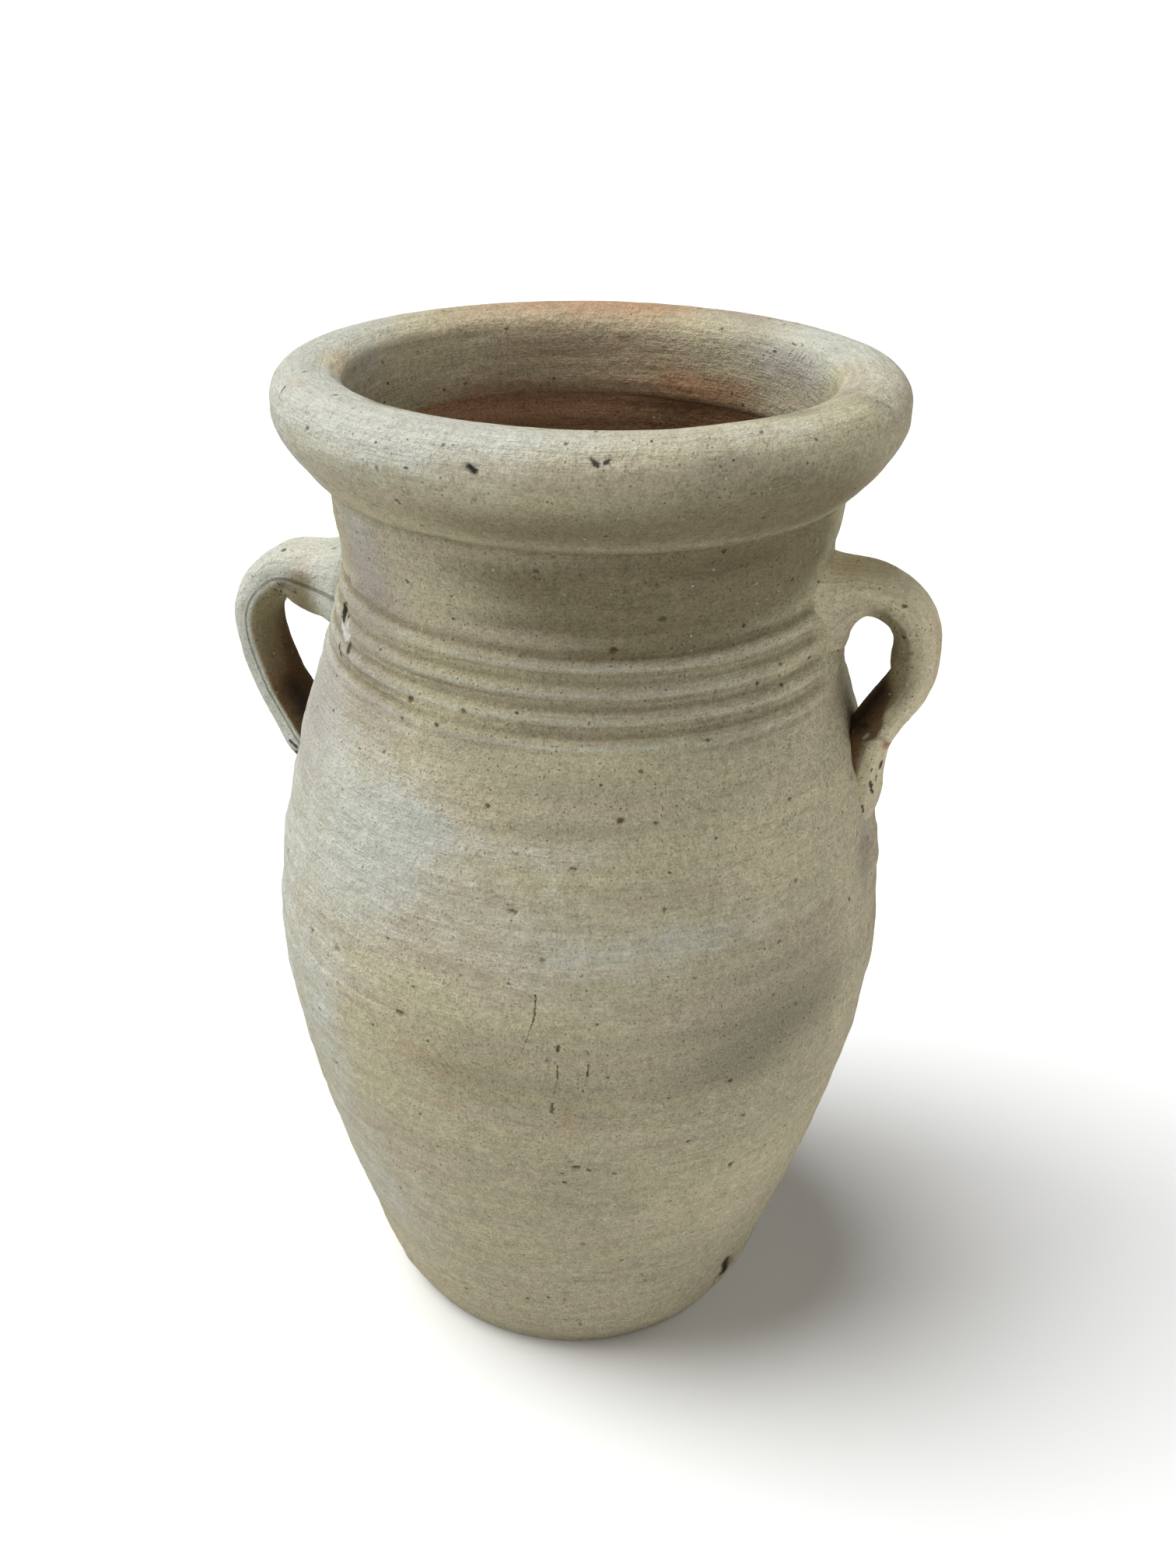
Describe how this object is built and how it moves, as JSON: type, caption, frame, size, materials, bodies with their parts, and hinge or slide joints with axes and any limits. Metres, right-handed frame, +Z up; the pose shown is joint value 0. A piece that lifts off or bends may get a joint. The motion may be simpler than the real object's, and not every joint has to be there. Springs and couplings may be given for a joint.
{
  "type": "two-handled clay urn",
  "caption": "Wheel-thrown buff clay urn with a folded rim, a winding finger groove round the shoulder and strap handles luted to neck and shoulder.",
  "frame": {"origin": "centre of the flat foot on the ground, on the axis of the thrown body", "axes": "+Z up along the axis of the thrown body, +X towards the right handle as the picture shows it, and -Y towards the side that the camera faces"},
  "size_m": [0.4256, 0.369, 0.6045],
  "materials": {
    "buff_clay": "matt fired clay with a pale green-cream bloom and fine throwing streaks",
    "rim_clay": "matt fired clay, smoothed by wet fingers",
    "floor_clay": "matt fired clay, warmer inside where the bloom is thin",
    "luting_clay": "matt fired clay, torn and smeared by fingers"
  },
  "bodies": {
    "root": {"base_floor": "floor_clay", "lower_body": "buff_clay", "upper_body": "buff_clay", "neck": "buff_clay", "rim": "rim_clay", "handle_right": "buff_clay", "right_upper_luting": "luting_clay", "right_lower_luting": "luting_clay", "handle_left": "buff_clay", "left_upper_luting": "luting_clay", "left_lower_luting": "luting_clay"}
  },
  "joints": []
}
